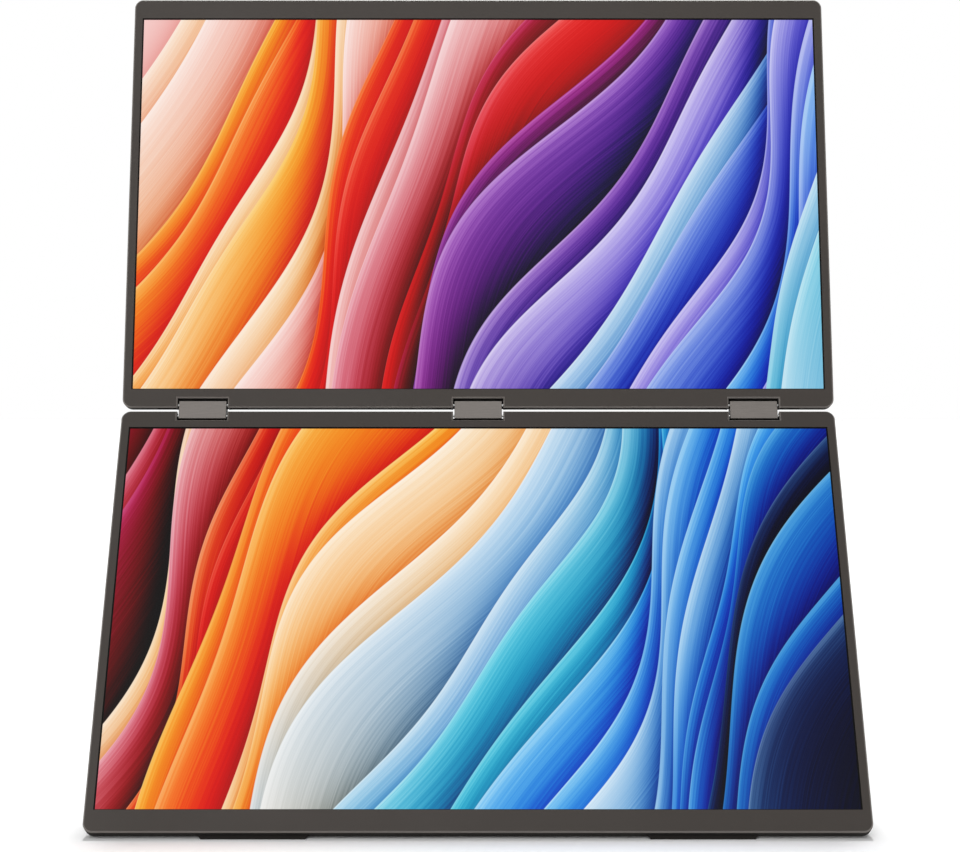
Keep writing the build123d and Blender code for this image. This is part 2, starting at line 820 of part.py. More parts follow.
def stand_leaves():
    """Hinge leaves let into the plate, rolled into a knuckle round each pin."""
    with BuildPart() as leaves:
        for x in stand_hinge_places:
            with BuildSketch(section(stand, x)):
                Circle(knuckle_radius)
                with Locations((0, stand_inner)):
                    Rectangle(knuckle_radius * 2, leaf_thickness, align=(Align.MIN, Align.MIN))
                Circle(stand_pin_radius + running_clearance, mode=Mode.SUBTRACT)
            extrude(amount=knuckle_length / 2, both=True)
            with BuildSketch(stand.offset(stand_inner)):
                start = stand_top_inset + knuckle_radius + 2 * part_gap
                end = stand_top_inset + leaf_length - part_gap
                with Locations((x, (start + end) / 2)):
                    Rectangle(leaf_width, end - start)
            extrude(amount=leaf_thickness)
    save(leaves.part, "stand_leaves")


def stand_foot():
    """Rubber strip on the stand's free edge, cut flat where it meets the floor."""
    straight = stand_length - stand_foot_length
    with BuildPart() as foot:
        with BuildSketch(stand.offset(stand_inner)):
            with Locations((0, straight + stand_foot_length)):
                Rectangle(stand_width, 2 * stand_foot_length)
        extrude(amount=stand_thickness)
        sides = foot.edges().filter_by(Axis(stand.origin, stand.z_dir))
        fillet(sides.group_by(Axis(stand.origin, stand.y_dir))[-1], stand_foot_length)
        with BuildSketch(stand.offset(stand_inner + groove_depth - press_clearance)):
            with Locations((0, straight)):
                Rectangle(
                    stand_width - 2 * stand_foot_length + 2 * press_clearance,
                    stand_foot_length + 2 * press_clearance,
                )
        extrude(amount=stand_foot_groove + 2 * press_clearance, mode=Mode.SUBTRACT)
        split(bisect_by=Plane.XY, keep=Keep.TOP)
    save(foot.part, "stand_foot")


# Lower display
def lower_back_cover():
    """Back cover with the stand's recess, hinge slots, finger scoop, ports and buttons."""
    with BuildPart() as cover:
        add(shell(lower))
        recess_start = pivot_drop - recess_top_room
        recess_end = pivot_drop + stand_reach + recess_gap
        recess_size = (stand_width + 2 * recess_gap, recess_end - recess_start)
        with BuildSketch(behind(lower, cover_inner)):
            with Locations((0, (recess_start + recess_end) / 2)):
                Rectangle(recess_size[0] + 2 * cover_wall, recess_size[1] + 2 * cover_wall)
            with Locations((0, (recess_end + panel_height - cover_wall) / 2)):
                Rectangle(scoop_width + 2 * cover_wall, panel_height - cover_wall - recess_end)
        extrude(amount=cover_inner - recess_inner)
        with BuildSketch(behind(lower, panel_thickness)):
            with Locations((0, (recess_start + recess_end) / 2)):
                RectangleRounded(*recess_size, recess_corner_radius)
            with Locations((0, panel_height)):
                Rectangle(scoop_width, 2 * (panel_height - recess_end + recess_gap))
        extrude(amount=recess_depth, mode=Mode.SUBTRACT)
        with BuildSketch(behind(lower, panel_thickness)):
            slot_length = knuckle_length + 4 * part_gap + 2 * lug_length
            with Locations(*[(x, pivot_drop) for x in stand_hinge_places]):
                Rectangle(slot_length, 2 * (knuckle_radius + part_gap))
        extrude(amount=panel_thickness - tray_back, mode=Mode.SUBTRACT)
        with BuildSketch(behind(lower, recess_floor)):
            with Locations(*stand_screw_places()):
                Circle(screw_head_radius + screw_seat_gap)
        extrude(amount=screw_head_height, mode=Mode.SUBTRACT)
        with BuildSketch(behind(lower, recess_floor)):
            with Locations(*stand_screw_places()):
                Circle(screw_radius + screw_seat_gap)
        extrude(amount=cover_wall, mode=Mode.SUBTRACT)
        side_wall = section(lower, panel_width / 2 + overcut)
        with BuildSketch(side_wall):
            port_holes()
        extrude(amount=-(overcut + cover_wall), mode=Mode.SUBTRACT)
        with BuildSketch(section(lower, -panel_width / 2 - overcut)):
            with Locations(*button_places()):
                SlotOverall(button_length + 2 * button_clearance, button_height + 2 * button_clearance)
        extrude(amount=overcut + cover_wall, mode=Mode.SUBTRACT)
        with BuildSketch(behind(lower, cover_inner)):
            with Locations(*board_screw_places()):
                Circle(boss_radius)
        extrude(amount=cover_inner - board_depth - board_thickness)
        with BuildSketch(behind(lower, board_depth + board_thickness)):
            with Locations(*board_screw_places()):
                Circle(screw_radius)
        extrude(amount=-(cover_inner - board_depth - board_thickness), mode=Mode.SUBTRACT)
        with BuildSketch(behind(lower, panel_thickness)):
            with Locations((board_x, board_top + board_length / 2)):
                with GridLocations(vent_pitch, 0, vent_count, 1):
                    SlotOverall(vent_length, vent_width, rotation=90)
        extrude(amount=cover_wall, mode=Mode.SUBTRACT)
    save(cover.part, "lower_back_cover")


def rubber_feet():
    """Two strips under the lower display's back edge, cut flat where they meet the floor."""
    with BuildPart() as feet:
        for side in (-1, 1):
            with BuildSketch(section(lower, side * foot_spacing)):
                with Locations((panel_height - foot_wrap, -panel_thickness - foot_proud)):
                    Rectangle(2 * foot_wrap, foot_wrap + foot_proud, align=(Align.MIN, Align.MIN))
                flat = panel_height - back_edge_radius
                corner = (Align.MIN, Align.MIN)
                with Locations((0, -panel_thickness)):
                    Rectangle(flat, panel_thickness, align=corner, mode=Mode.SUBTRACT)
                with Locations((0, back_edge_radius - panel_thickness)):
                    Rectangle(panel_height, panel_thickness, align=corner, mode=Mode.SUBTRACT)
                with Locations((flat, back_edge_radius - panel_thickness)):
                    Circle(back_edge_radius, mode=Mode.SUBTRACT)
            extrude(amount=foot_length / 2, both=True)
        with BuildSketch(Plane.XZ):
            with Locations((-foot_spacing, 0), (foot_spacing, 0)):
                Polygon(
                    (-foot_length / 2 - foot_wrap, foot_end_bevel + foot_wrap),
                    (foot_end_bevel - foot_length / 2, 0),
                    (foot_length / 2 - foot_end_bevel, 0),
                    (foot_length / 2 + foot_wrap, foot_end_bevel + foot_wrap),
                    align=None,
                )
        extrude(amount=panel_height, both=True, mode=Mode.INTERSECT)
    save(feet.part, "rubber_feet")


# Electronics
board_x = panel_width / 2 - cover_wall - board_inset - board_width / 2
cable_socket = (board_x, board_top + socket_size)
panel_socket = (board_x - board_width / 3, board_top + board_length - socket_size)
button_socket = (board_x - board_width / 2 + socket_size / 2, board_top + socket_size * 2)
ribbon_depth = tray_back + timing_board_thickness


def board_screw_places():
    """Screws at the main board's corners."""
    inset = boss_radius + part_gap
    return [
        (board_x + side * (board_width / 2 - inset), v)
        for side in (-1, 1)
        for v in (board_top + inset, board_top + board_length - inset)
    ]


def port_places():
    """Two round-ended data ports and one video port, down the display's side."""
    return [(board_top + port_first + n * port_pitch, -port_depth) for n in range(3)]


def video_outline(grow):
    """Corners of the video port's outline: a flat slot with bevelled lower corners."""
    wide = video_port_width / 2 + grow
    high = video_port_height / 2 + grow
    return [
        (-wide, high),
        (wide, high),
        (wide, video_port_bevel - high),
        (wide - video_port_bevel, -high),
        (video_port_bevel - wide, -high),
        (-wide, video_port_bevel - high),
    ]


def port_holes():
    """Openings for the ports in the side wall."""
    data_first, data_second, video = port_places()
    with Locations(data_first, data_second):
        SlotOverall(data_port_width + 2 * port_clearance, data_port_height + 2 * port_clearance)
    with Locations(video):
        Polygon(*video_outline(port_clearance), align=None)


port_face = panel_width / 2 - part_gap
port_back = port_face - port_length


def data_port_shells():
    """Metal shells of the two data ports, closed at the back."""
    with BuildPart() as shells:
        with BuildSketch(section(lower, port_back)):
            with Locations(*port_places()[:2]):
                SlotOverall(data_port_width, data_port_height)
        extrude(amount=port_length)
        with BuildSketch(section(lower, port_back + data_port_wall)):
            with Locations(*port_places()[:2]):
                SlotOverall(data_port_width - 2 * data_port_wall, data_port_height - 2 * data_port_wall)
        extrude(amount=port_length, mode=Mode.SUBTRACT)
    save(shells.part, "data_port_shells")


def video_port_shell():
    """Metal shell of the video port, closed at the back."""
    with BuildPart() as body:
        with BuildSketch(section(lower, port_back)):
            with Locations(port_places()[2]):
                Polygon(*video_outline(0), align=None)
        extrude(amount=port_length)
        with BuildSketch(section(lower, port_back + data_port_wall)):
            with Locations(port_places()[2]):
                Polygon(*video_outline(-data_port_wall), align=None)
        extrude(amount=port_length, mode=Mode.SUBTRACT)
    save(body.part, "video_port_shell")


def port_tongues():
    """Contact tongues inside the ports."""
    start = port_back + data_port_wall
    with BuildPart() as tongues:
        with BuildSketch(section(lower, start)):
            with Locations(*port_places()):
                Rectangle(data_port_width - 2 * tongue_thickness - 2 * data_port_wall, tongue_thickness)
        extrude(amount=port_length - data_port_wall - tongue_thickness)
    save(tongues.part, "port_tongues")


def main_board():
    """Circuit board beside the stand's recess, notched round the ports, with its chips."""
    chip_height = part_gap + tray_back
    with BuildPart() as board:
        with BuildSketch(behind(lower, board_depth)):
            with Locations((board_x, board_top + board_length / 2)):
                Rectangle(board_width, board_length)
            with Locations(*[(panel_width / 2, v) for v, height in port_places()]):
                cut = (2 * (panel_width / 2 - port_back), video_port_width + 2 * part_gap)
                Rectangle(*cut, mode=Mode.SUBTRACT)
            with Locations(*board_screw_places()):
                Circle(screw_radius + screw_seat_gap, mode=Mode.SUBTRACT)
        extrude(amount=-board_thickness)
        with BuildSketch(behind(lower, board_depth)):
            with Locations((board_x - board_width / 5, board_top + board_length / 2)):
                Rectangle(board_width / 3, board_width / 3)
            with Locations((board_x - board_width / 5, board_top + board_length / 4)):
                Rectangle(board_width / 5, board_width / 5)
            with Locations((board_x - board_width / 5, board_top + board_length * 3 / 4)):
                Rectangle(board_width / 4, board_width / 6)
            with Locations(cable_socket):
                Rectangle(socket_size, socket_size / 2)
        extrude(amount=board_depth - chip_height)
        with BuildSketch(behind(lower, board_depth)):
            with Locations(button_socket):
                Rectangle(socket_size / 2, socket_size)
        extrude(amount=board_depth - tray_back - ribbon_thickness)
        with BuildSketch(behind(lower, board_depth)):
            with Locations(panel_socket):
                Rectangle(socket_size, socket_size / 2)
        extrude(amount=board_depth - ribbon_depth - ribbon_thickness)
    save(board.part, "main_board")


def panel_ribbon():
    """Flat flexible lead from the main board to the lower screen's driver board."""
    socket_x, socket_v = panel_socket
    end_x = timing_board_length / 2
    timing_v = cell_middle + cell_height / 2 - timing_board_width / 2 - part_gap
    with BuildPart() as ribbon:
        with BuildSketch(behind(lower, ribbon_depth)):
            with Locations((socket_x, (socket_v + timing_v) / 2)):
                Rectangle(ribbon_width, timing_v - socket_v + ribbon_width / 2)
            with Locations(((socket_x + end_x) / 2, timing_v)):
                Rectangle(socket_x - end_x + ribbon_width, ribbon_width)
        extrude(amount=-ribbon_thickness)
    save(ribbon.part, "panel_ribbon")


def button_ribbon():
    """Flat flexible lead from the button board, across the back of the tray, to the main board."""
    start_x = button_board_width - switch_face + switch_size / 2
    socket_x, socket_v = button_socket
    with BuildPart() as ribbon:
        with BuildSketch(behind(lower, tray_back)):
            with Locations(((start_x + socket_x) / 2, socket_v)):
                Rectangle(socket_x - start_x, ribbon_width)
        extrude(amount=-ribbon_thickness)
    save(ribbon.part, "button_ribbon")


def board_screws():
    """Screws that hold the main board on the cover's bosses."""
    with BuildPart() as screws:
        with BuildSketch(behind(lower, board_depth)):
            with Locations(*board_screw_places()):
                Circle(screw_head_radius)
        extrude(amount=screw_head_height)
        with BuildSketch(behind(lower, board_depth)):
            with Locations(*board_screw_places()):
                Circle(screw_radius - press_clearance)
        extrude(amount=-(board_thickness + thread_engagement / 2))
    save(screws.part, "board_screws")


# Buttons
def button_places():
    """Buttons down the side of the lower display opposite its ports."""
    return [(button_first + n * button_pitch, -port_depth) for n in range(button_count)]


wall_inner = panel_width / 2 - cover_wall
flange_inner = wall_inner - button_clearance - button_flange
switch_face = flange_inner - button_travel - button_clearance


def side_button(place, label):
    """Push button through the side wall, kept in by its flange."""
    with BuildPart() as button:
        with BuildSketch(section(lower, -flange_inner)):
            with Locations(place):
                SlotOverall(button_length + 2 * button_flange, button_height + button_flange)
        extrude(amount=-button_flange)
        with BuildSketch(section(lower, -flange_inner - button_flange)):
            with Locations(place):
                SlotOverall(button_length, button_height)
        extrude(amount=-(panel_width / 2 + button_proud - flange_inner - button_flange))
        cap = button.faces().sort_by(Axis(lower.origin, lower.x_dir))[0]
        chamfer(cap.edges(), button_clearance)
    save(button.part, label)


def button_board():
    """Narrow board that carries the switches, on a ledge of the tray's back."""
    length = button_pitch * (button_count - 1) + 2 * button_length
    back = switch_face - switch_size / 2
    with BuildPart() as board:
        with BuildSketch(behind(lower, tray_back)):
            middle = button_first + button_pitch * (button_count - 1) / 2
            with Locations((-(back - button_board_width / 2), middle)):
                Rectangle(button_board_width, length)
        extrude(amount=-(port_depth - tray_back + switch_size / 2))
    save(board.part, "button_board")


def button_switches():
    """Tact switches behind the buttons."""
    back = switch_face - switch_size / 2
    with BuildPart() as switches:
        with BuildSketch(section(lower, -back)):
            with Locations(*button_places()):
                Rectangle(switch_size, switch_size - 2 * part_gap)
        extrude(amount=-switch_size / 3)
        with BuildSketch(section(lower, -back - switch_size / 3)):
            with Locations(*button_places()):
                Circle(switch_size / 4)
        extrude(amount=-(switch_face - back - switch_size / 3))
    save(switches.part, "button_switches")


os.makedirs("parts", exist_ok=True)
for frame, side in ((lower, "lower"), (upper, "upper")):
    front_bezel(frame, f"{side}_front_bezel")
    corner_screws(frame, f"{side}_cover_screws")
    bezel_gasket(frame, f"{side}_bezel_gasket")
    lcd_cell(frame, f"{side}_lcd_cell")
    backlight_sheets(frame, f"{side}_backlight_sheets")
    led_bar(frame, f"{side}_led_bar")
    panel_tray(frame, f"{side}_panel_tray")
    timing_board(frame, f"{side}_timing_board")
    hinge_brackets(frame, f"{side}_hinge_brackets")
    bracket_screws(frame, f"{side}_bracket_screws")
save(shell(upper), "upper_back_cover")
lower_back_cover()
hinge_pins(0, "lower_hinge_pins")
hinge_pins(3, "upper_hinge_pins")
idler_gears(1, "lower_idler_gears")
idler_gears(2, "upper_idler_gears")
idler_pins()
link_housings()
link_covers()
stand_brackets()
stand_screws()
stand_pins()
stand_plate()
stand_leaves()
stand_foot()
rubber_feet()
data_port_shells()
video_port_shell()
port_tongues()
main_board()
board_screws()
for name, place in zip(("power_button", "menu_button", "select_button"), button_places()):
    side_button(place, name)
button_board()
button_switches()
lower_cable_depth = (board_depth + part_gap + tray_back) / 2
display_cable(lower, lower_cable_depth, (board_x, cable_socket[1] - socket_size / 4), "lower_cable")
timing_socket_v = cell_middle + cell_height / 2 - part_gap - timing_board_width * 3 / 4
display_cable(upper, ribbon_depth + timing_board_thickness / 2, (0, timing_socket_v), "upper_cable")
link_cable()
panel_ribbon()
button_ribbon()
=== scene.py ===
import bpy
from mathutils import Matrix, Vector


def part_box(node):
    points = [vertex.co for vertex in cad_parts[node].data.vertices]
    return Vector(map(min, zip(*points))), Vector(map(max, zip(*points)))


bl_info = {
    "name": "Dual portable monitor",
    "version": (1, 0, 0),
    "blender": (4, 5, 0),
    "location": "View3D > Sidebar > Dual Monitor",
    "description": "Finishes two hinged displays with their lit picture, hinges, kickstand and studio",
    "category": "Object",
}

import math

import bpy
from mathutils import Vector

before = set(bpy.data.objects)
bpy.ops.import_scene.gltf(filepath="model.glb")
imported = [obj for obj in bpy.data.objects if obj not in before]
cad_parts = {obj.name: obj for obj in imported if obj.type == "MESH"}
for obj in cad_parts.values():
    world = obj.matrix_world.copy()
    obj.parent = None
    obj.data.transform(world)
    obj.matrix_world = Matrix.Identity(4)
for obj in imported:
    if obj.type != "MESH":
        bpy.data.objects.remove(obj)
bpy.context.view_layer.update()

MM = 0.001
LEANS = {"lower": 30.0, "upper": 12.0}
PICTURE_WIDTH = 344.16 * MM
PICTURE_HEIGHT = 193.59 * MM
CELL_THICKNESS = 0.9 * MM
CELL_BORDERS = {"lower": 4.0 * MM, "upper": 1.5 * MM}
WINDOW_BORDER = 0.4 * MM
LIP_BEVEL = 0.3 * MM


def up_along(lean):
    """Direction up along a face that leans back by lean degrees."""
    return Vector((0, math.sin(math.radians(lean)), math.cos(math.radians(lean))))


def facing(lean):
    """Outward normal of a front that leans back by lean degrees."""
    return Vector((0, -math.cos(math.radians(lean)), math.sin(math.radians(lean))))


def picture_foot(side):
    """Middle of the picture's bottom edge on one display's glass."""
    lean = LEANS[side]
    low = Vector(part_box(f"{side}_lcd_cell")[0])
    edge = Vector((0, low.y, low.z + CELL_THICKNESS * math.sin(math.radians(lean))))
    return edge + up_along(lean) * CELL_BORDERS[side]


def colour(name, about, default):
    """A colour a user may change."""
    return bpy.props.FloatVectorProperty(
        name=name, description=about, subtype="COLOR", size=3, min=0, max=1, default=default
    )


def length(name, about, default):
    """A length a user may change."""
    return bpy.props.FloatProperty(name=name, description=about, unit="LENGTH", min=0, default=default)


def number(name, about, default):
    """A plain number a user may change."""
    return bpy.props.FloatProperty(name=name, description=about, min=0, default=default)


class CasingSettings(bpy.types.PropertyGroup):
    """Finish of the bezels, covers, stand and buttons."""

    bezel: colour("Bezel", "Front frames' anodised colour", (0.039, 0.0327, 0.0283))
    cover: colour("Cover", "Back covers' anodised colour", (0.05, 0.045, 0.041))
    # Painted shade: dark colour laid on the side walls of the frames and covers, where shade falls on them.
    painted_wall_shade: colour("Walls", "Dark side walls", (0.023, 0.0203, 0.0183))
    # Painted shadow: near-black band on the frame above and beside the picture, standing in for the shade
    # cast by the recess.
    painted_lip_shadow: colour("Lip", "Dark lip round the glass", (0.005, 0.0045, 0.004))
    stand: colour("Stand", "Kickstand's anodised colour", (0.062, 0.056, 0.051))
    # Painted highlight: lighter colour on the frames' chamfers, standing in for the bright line that light
    # draws along them.
    chamfer_highlight: colour("Cut edge", "Bright chamfer round the front frames", (0.16, 0.145, 0.133))
    rubber: colour("Rubber", "Feet and stand strip", (0.017, 0.0148, 0.0136))
    button: colour("Buttons", "Side buttons", (0.045, 0.04, 0.037))
    grain: length("Grain", "Size of the blasted metal's grain", 0.12 * MM)


class HingeSettings(bpy.types.PropertyGroup):
    """Finish of the hinge links and bare metal."""

    brushed: colour("Brushed", "Links' front caps", (0.12, 0.108, 0.099))
    block: colour("Block", "Links' bodies", (0.02, 0.018, 0.0165))
    steel: colour("Steel", "Pins, brackets and port shells", (0.42, 0.42, 0.41))
    screw: colour("Screw", "Blackened screws", (0.03, 0.03, 0.03))
    stroke: length("Stroke", "Length of a brush mark", 9 * MM)


class InnerSettings(bpy.types.PropertyGroup):
    """Finish of the pieces inside the casings."""

    board: colour("Board", "Circuit boards", (0.012, 0.09, 0.045))
    chip: colour("Chip", "Chips and black mouldings", (0.012, 0.012, 0.013))
    ribbon: colour("Ribbon", "Flexible leads", (0.35, 0.13, 0.025))
    tray: colour("Tray", "Screen trays", (0.45, 0.46, 0.47))
    guide: colour("Light guide", "Backlight sheets", (0.75, 0.8, 0.86))
    bar: colour("Light bar", "Light bar's strip", (0.8, 0.75, 0.6))
    foam: colour("Foam", "Gaskets", (0.01, 0.01, 0.01))


class PictureSettings(bpy.types.PropertyGroup):
    """Colours of the screens' drawn ribbons."""

    peach: colour("Peach", "Ribbon colour", (0.9, 0.36, 0.16))
    orange: colour("Orange", "Ribbon colour", (0.9, 0.19, 0.025))
    amber: colour("Amber", "Ribbon colour", (0.93, 0.47, 0.06))
    cream: colour("Cream", "Ribbon colour", (0.95, 0.78, 0.58))
    blush: colour("Blush", "Ribbon colour", (0.92, 0.66, 0.64))
    scarlet: colour("Scarlet", "Ribbon colour", (0.8, 0.03, 0.025))
    rose: colour("Rose", "Ribbon colour", (0.72, 0.2, 0.27))
    crimson: colour("Crimson", "Ribbon colour", (0.42, 0.01, 0.07))
    magenta: colour("Magenta", "Ribbon colour", (0.34, 0.02, 0.25))
    violet: colour("Violet", "Ribbon colour", (0.26, 0.09, 0.5))
    lavender: colour("Lavender", "Ribbon colour", (0.52, 0.46, 0.84))
    indigo: colour("Indigo", "Ribbon colour", (0.06, 0.06, 0.52))
    ice: colour("Ice", "Ribbon colour", (0.52, 0.7, 0.86))
    periwinkle: colour("Periwinkle", "Ribbon colour", (0.19, 0.3, 0.76))
    sky: colour("Sky", "Ribbon colour", (0.16, 0.5, 0.86))
    cyan: colour("Cyan", "Ribbon colour", (0.09, 0.55, 0.72))
    azure: colour("Azure", "Ribbon colour", (0.02, 0.21, 0.62))
    navy: colour("Navy", "Ribbon colour", (0.006, 0.022, 0.11))
    streak: length("Streak", "Width of the fine streaks along a ribbon", 0.9 * MM)
    brightness: number("Brightness", "Light given off by the picture", 1.0)


class StageSettings(bpy.types.PropertyGroup):
    """Camera, lamps and floor."""

    focal: number("Focal length", "Lens in millimetres on a 36 mm sensor", 74.85)
    distance: length("Distance", "Camera's depth in front of the lower picture's foot", 0.89662)
    rise: length("Rise", "Camera's axis over the lower picture's foot", 0.17213)
    aside: length("Aside", "Camera's axis to the right of the picture's middle", 0.00092)
    tilt: number("Tilt", "Degrees that the camera looks down", 1.92)
    key: number("Key lamp", "Strength of the wide lamp in front", 1.4)
    top: number("Top lamp", "Strength of the lamp above and behind", 2.3)
    fill: number("Sky", "Strength of the white surround", 0.3)
    floor: colour("Floor", "Floor's colour", (0.95, 0.95, 0.95))
    lift: number("Floor lift", "Light added to the floor for the camera", 0.02)


def settings(group):
    """One of this file's property groups on the scene."""
    return getattr(bpy.context.scene, f"monitor_{group}")


# Node helpers
def add_node(tree, kind, values=None, **attributes):
    """A new node with its attributes and its unlinked inputs set."""
    made = tree.nodes.new(kind)
    for name, value in attributes.items():
        setattr(made, name, value)
    for name, value in (values or {}).items():
        if isinstance(value, bpy.types.NodeSocket):
            tree.links.new(value, made.inputs[name])
        else:
            made.inputs[name].default_value = value
    return made


def maths(tree, operation, first, second=0.0, third=0.0):
    """Output of a Math node."""
    made = add_node(tree, "ShaderNodeMath", {0: first, 1: second, 2: third}, operation=operation)
    return made.outputs[0]


def mixed(tree, share, first, second, blend="MIX"):
    """Output of a colour mix."""
    made = add_node(tree, "ShaderNodeMix", data_type="RGBA", blend_type=blend)
    for socket, value in ((made.inputs[0], share), (made.inputs[6], first), (made.inputs[7], second)):
        if isinstance(value, bpy.types.NodeSocket):
            tree.links.new(value, socket)
        else:
            socket.default_value = value
    return made.outputs[2]


def remapped(tree, value, low, high, to_low, to_high, smooth=False):
    """Output of a clamped Map Range node."""
    kind = "SMOOTHSTEP" if smooth else "LINEAR"
    made = add_node(
        tree,
        "ShaderNodeMapRange",
        {"Value": value, "From Min": low, "From Max": high, "To Min": to_low, "To Max": to_high},
        interpolation_type=kind,
    )
    return made.outputs[0]


def along(tree, vector, direction):
    """Dot product of a vector socket with a fixed direction."""
    made = add_node(tree, "ShaderNodeVectorMath", {0: vector, 1: direction}, operation="DOT_PRODUCT")
    return made.outputs["Value"]


def opaque(tone, scale=1.0):
    """A colour property as four numbers, made lighter or darker by scale."""
    return tuple(min(1.0, part * scale) for part in tone) + (1.0,)


def new_material(name):
    """An empty node material with its shader, and where on the object each point lies."""
    made = bpy.data.materials.new(name)
    made.use_nodes = True
    tree = made.node_tree
    tree.nodes.clear()
    output = tree.nodes.new("ShaderNodeOutputMaterial")
    shader = tree.nodes.new("ShaderNodeBsdfPrincipled")
    tree.links.new(shader.outputs[0], output.inputs[0])
    coordinates = tree.nodes.new("ShaderNodeTexCoord")
    return made, tree, shader, coordinates


def noise(tree, place, scale, detail=2.0, roughness=0.5):
    """Value of a noise pattern."""
    values = {"Vector": place, "Scale": scale, "Detail": detail, "Roughness": roughness}
    return add_node(tree, "ShaderNodeTexNoise", values).outputs[0]


def spread(tree, pattern, low, high):
    """A noise pattern's common values, spread from low to high."""
    return remapped(tree, pattern, 0.3, 0.7, low, high)


def stretched(tree, place, scale):
    """Coordinates scaled differently along each axis."""
    return add_node(tree, "ShaderNodeMapping", {"Vector": place, "Scale": scale}).outputs[0]


def bumped(tree, shader, height, strength, distance):
    """Raises the surface by a height pattern."""
    made = add_node(tree, "ShaderNodeBump", {"Height": height, "Strength": strength, "Distance": distance})
    tree.links.new(made.outputs[0], shader.inputs["Normal"])


def wear(name, material):
    """Gives a CAD piece its material."""
    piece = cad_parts[name]
    if not piece.material_slots:
        piece.data.materials.append(material)
    for place in piece.material_slots:
        place.material = material


# Metals and mouldings
PATCH_SCALE = 14.0
PATCH_SPREAD = 0.08
SPECK_SHARE = 0.22
SPECK_TONE = 1.35
SPECK_DEPTH = 0.02 * MM
SATIN_ROUGHNESS = (0.42, 0.5)
CUT_SLOPE = math.cos(math.radians(45.0))
CUT_MARKS = (40, 2500, 2500)
CUT_SPREAD = 0.15
BRUSH_MARKS = 4500
BRUSH_DEPTH = 0.015 * MM


def anodised(name, tone, gloss=0.16):
    """Blasted and anodised metal."""
    made, tree, shader, coordinates = new_material(name)
    place = coordinates.outputs["Object"]
    cloud = noise(tree, place, PATCH_SCALE, 3.0)
    speck = noise(tree, place, 0.5 / settings("casing").grain, 2.0, 0.6)
    base = mixed(tree, cloud, opaque(tone, 1 - PATCH_SPREAD), opaque(tone, 1 + PATCH_SPREAD))
    lighter = remapped(tree, speck, 0.35, 0.65, 0.0, SPECK_SHARE)
    base = mixed(tree, lighter, base, opaque(tone, SPECK_TONE))
    tree.links.new(base, shader.inputs["Base Color"])
    tree.links.new(spread(tree, cloud, *SATIN_ROUGHNESS), shader.inputs["Roughness"])
    shader.inputs["Metallic"].default_value = 0.1
    shader.inputs["Specular IOR Level"].default_value = gloss
    bumped(tree, shader, speck, 0.25, SPECK_DEPTH)
    return made


def paint_shade(made, share, tone):
    """Makes a share of a metal's surface dark and matt, as painted shade."""
    tree = made.node_tree
    shader = tree.nodes["Principled BSDF"]
    base = shader.inputs["Base Color"].links[0].from_socket
    rough = shader.inputs["Roughness"].links[0].from_socket
    tree.links.new(mixed(tree, share, base, opaque(tone)), shader.inputs["Base Color"])
    tree.links.new(maths(tree, "MAXIMUM", rough, share), shader.inputs["Roughness"])


def picture_place(tree, coordinates, side):
    """How far each point lies to the right of and above the middle of one display's picture."""
    offset = add_node(
        tree,
        "ShaderNodeVectorMath",
        {0: coordinates.outputs["Object"], 1: picture_foot(side)},
        operation="SUBTRACT",
    ).outputs[0]
    height = along(tree, offset, up_along(LEANS[side]))
    return along(tree, offset, (1, 0, 0)), maths(tree, "SUBTRACT", height, PICTURE_HEIGHT / 2)


def bezel_metal(name, look, side):
    """Anodised front frame with cut 45 degree edges that carry a painted highlight, side walls painted dark
    as shade, and a painted shadow on the lip above and beside the glass.
    """
    made = anodised(name, look.bezel)
    tree = made.node_tree
    shader = tree.nodes["Principled BSDF"]
    coordinates = tree.nodes["Texture Coordinate"]
    base = shader.inputs["Base Color"].links[0].from_socket
    # Painted highlight: faces at 45 degrees to the front, which are the chamfers, take the lighter chamfer
    # tone with fine marks.
    slope = along(tree, coordinates.outputs["Normal"], facing(LEANS[side]))
    away = maths(tree, "ABSOLUTE", maths(tree, "SUBTRACT", slope, CUT_SLOPE))
    cut = remapped(tree, away, 0.08, 0.16, 1.0, 0.0)
    line = noise(tree, stretched(tree, coordinates.outputs["Object"], CUT_MARKS), 1.0)
    bright = mixed(tree, line, opaque(look.chamfer_highlight, 1 - CUT_SPREAD), opaque(look.chamfer_highlight, 1 + CUT_SPREAD))
    tree.links.new(mixed(tree, cut, base, bright), shader.inputs["Base Color"])
    # Painted shadow: a thin band along the top and sides of the picture window, not along its bottom, is
    # made nearly black and matt.
    across, above = picture_place(tree, coordinates, side)
    beside = maths(tree, "SUBTRACT", maths(tree, "ABSOLUTE", across), PICTURE_WIDTH / 2)
    over = maths(tree, "SUBTRACT", above, PICTURE_HEIGHT / 2)
    below = maths(tree, "LESS_THAN", above, -PICTURE_HEIGHT / 2 - WINDOW_BORDER)
    rim = maths(tree, "ADD", maths(tree, "MAXIMUM", beside, over), below)
    painted_lip_shadow = maths(tree, "LESS_THAN", rim, WINDOW_BORDER + LIP_BEVEL)
    # Painted shade: faces turned away from the front, which are the side walls, are made dark and matt.
    paint_shade(made, remapped(tree, slope, 0.3, 0.4, 1.0, 0.0), look.painted_wall_shade)
    paint_shade(made, painted_lip_shadow, look.painted_lip_shadow)
    return made


def cover_metal(name, look, front):
    """Anodised back cover whose side walls are painted dark as shade."""
    made = anodised(name, look.cover, 0.3)
    tree = made.node_tree
    slope = along(tree, tree.nodes["Texture Coordinate"].outputs["Normal"], front)
    # Painted shade: every face but the cover's back, so its side walls, is made dark and matt.
    paint_shade(made, remapped(tree, slope, -0.85, -0.35, 0.0, 1.0, smooth=True), look.painted_wall_shade)
    return made


